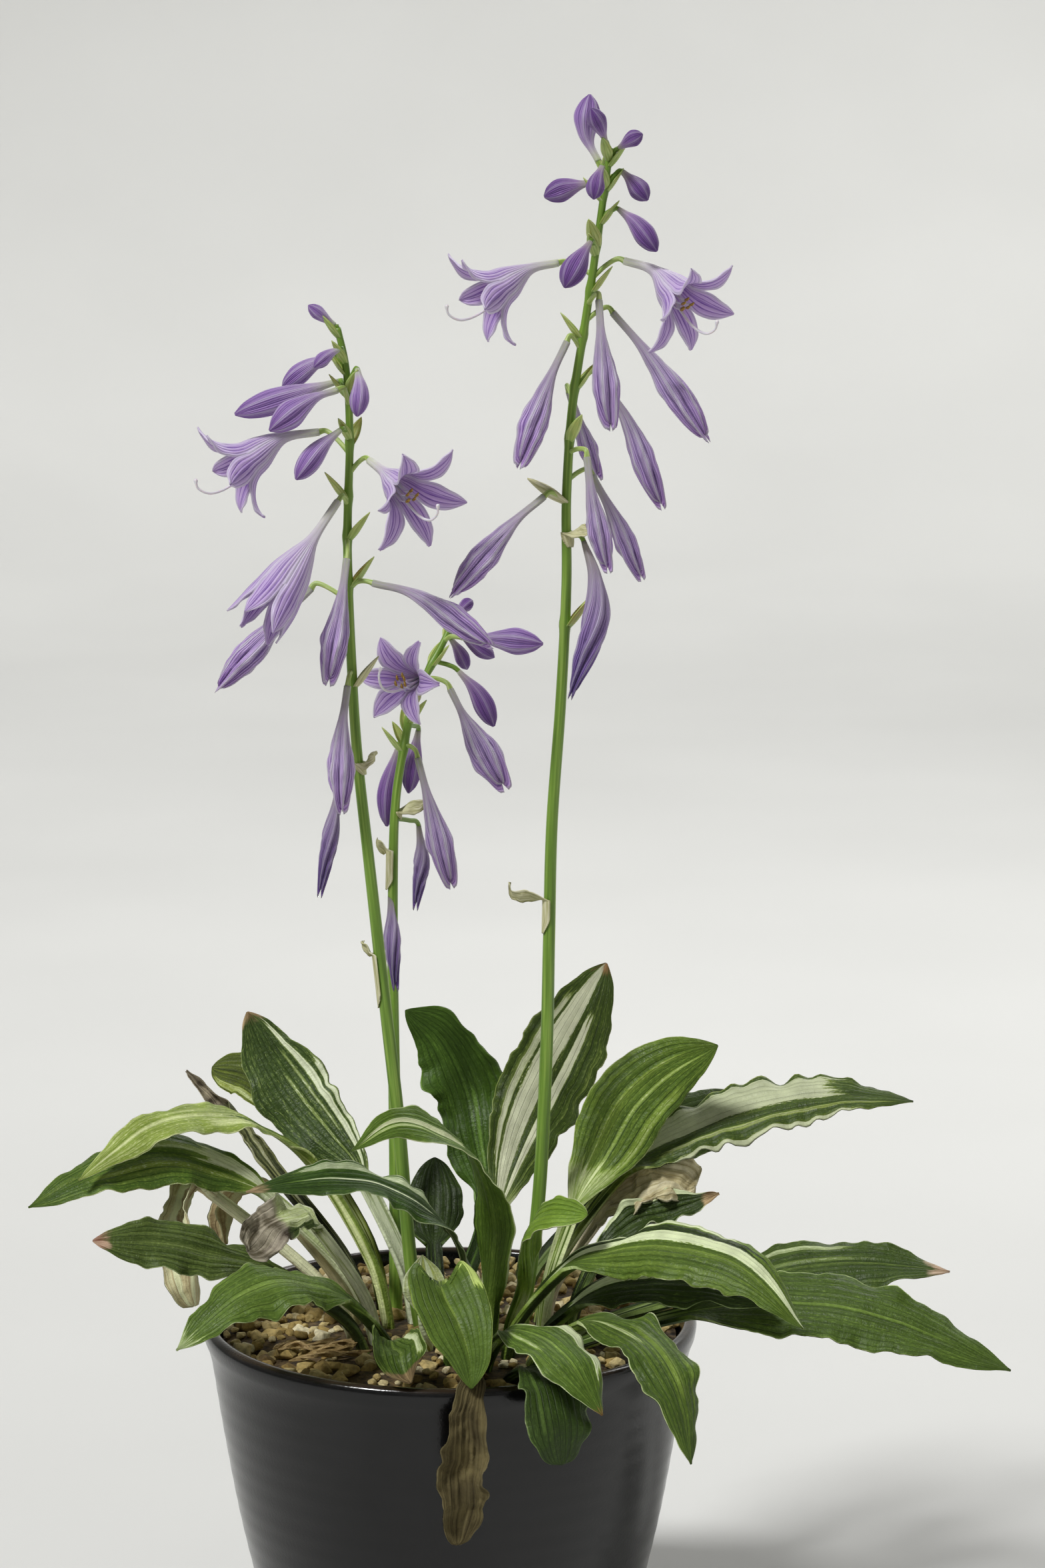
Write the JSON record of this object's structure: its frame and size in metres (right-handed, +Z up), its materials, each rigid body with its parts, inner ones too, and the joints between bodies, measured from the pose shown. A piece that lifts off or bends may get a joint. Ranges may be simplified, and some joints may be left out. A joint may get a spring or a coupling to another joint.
{
  "type": "potted flowering plant",
  "caption": "Variegated hosta with wavy lance-shaped leaves and tall stems of lavender bell flowers, growing in a round black glazed pot of tan grit.",
  "frame": {"origin": "centre of the pot's flat underside", "axes": "+Z up along the pot's axis, -Y towards the viewer's side, +X to the viewer's right"},
  "size_m": [0.3454, 0.2029, 0.5801],
  "materials": {
    "black_glaze": "glossy black glaze with faint throwing rings",
    "tan_grit": "matt angular grit",
    "deep_green_leaf": "satin leaf, dark green streaked with cream",
    "fresh_green_leaf": "satin leaf, fresh green with a fine pale margin",
    "cream_green_leaf": "satin leaf, green streaked with broad cream bands",
    "withered_leaf": "dry papery leaf, tan and grey",
    "stem_green": "waxy fresh green stem",
    "lavender_petal": "thin satin petals with darker veins",
    "pale_lavender_petal": "thin wrinkled spent petals"
  },
  "bodies": {
    "root": {"pot": "black_glaze", "gravel": "tan_grit", "leaf_left_long": "cream_green_leaf", "leaf_left_arch": "cream_green_leaf", "leaf_left_upright": "deep_green_leaf", "leaf_left_back": "fresh_green_leaf", "leaf_left_thin": "deep_green_leaf", "leaf_left_mid": "deep_green_leaf", "leaf_left_low": "deep_green_leaf", "leaf_left_front": "fresh_green_leaf", "leaf_left_dead": "withered_leaf", "leaf_left_dead_inner": "withered_leaf", "leaf_left_grey": "withered_leaf", "leaf_centre_arch": "fresh_green_leaf", "leaf_back_dark": "deep_green_leaf", "leaf_back_tall": "cream_green_leaf", "leaf_centre_dark": "deep_green_leaf", "leaf_centre_pale": "cream_green_leaf", "leaf_heart": "fresh_green_leaf", "leaf_front_curl": "fresh_green_leaf", "leaf_front_dead": "withered_leaf", "leaf_right_broad": "fresh_green_leaf", "leaf_right_white": "cream_green_leaf", "leaf_right_back": "deep_green_leaf", "leaf_right_dead": "withered_leaf", "leaf_right_wavy": "deep_green_leaf", "leaf_right_stripe": "cream_green_leaf", "leaf_right_mid": "deep_green_leaf", "leaf_right_far_upper": "deep_green_leaf", "leaf_right_far_lower": "fresh_green_leaf", "leaf_right_down": "fresh_green_leaf", "leaf_front_right": "fresh_green_leaf", "leaf_front_low": "deep_green_leaf", "leaf_green_curl": "fresh_green_leaf", "scape_a": "stem_green", "bloom_a_big_bud": "pale_lavender_petal", "bloom_a_open_left": "lavender_petal", "bloom_a_open_right": "lavender_petal", "bloom_a_spent_wide": "lavender_petal", "bloom_a_spent_left": "pale_lavender_petal", "bloom_a_spent_front": "pale_lavender_petal", "bloom_a_spent_right": "pale_lavender_petal", "bloom_a_spent_low": "pale_lavender_petal", "scape_b": "stem_green", "bloom_b_top_bud": "pale_lavender_petal", "bloom_b_open_left": "lavender_petal", "bloom_b_open_right": "lavender_petal", "bloom_b_spent_front": "pale_lavender_petal", "bloom_b_spent_right": "pale_lavender_petal", "bloom_b_spent_left": "pale_lavender_petal", "bloom_b_spent_back_right": "pale_lavender_petal", "bloom_b_spent_back": "pale_lavender_petal", "bloom_b_spent_mid": "pale_lavender_petal", "bloom_b_spent_mid_right": "pale_lavender_petal", "bloom_b_spent_far_left": "pale_lavender_petal", "scape_c": "stem_green", "bloom_c_open_star": "lavender_petal", "bloom_c_long_bud": "pale_lavender_petal", "bloom_c_spent_right": "pale_lavender_petal", "bloom_c_spent_low_right": "pale_lavender_petal"}
  },
  "joints": []
}
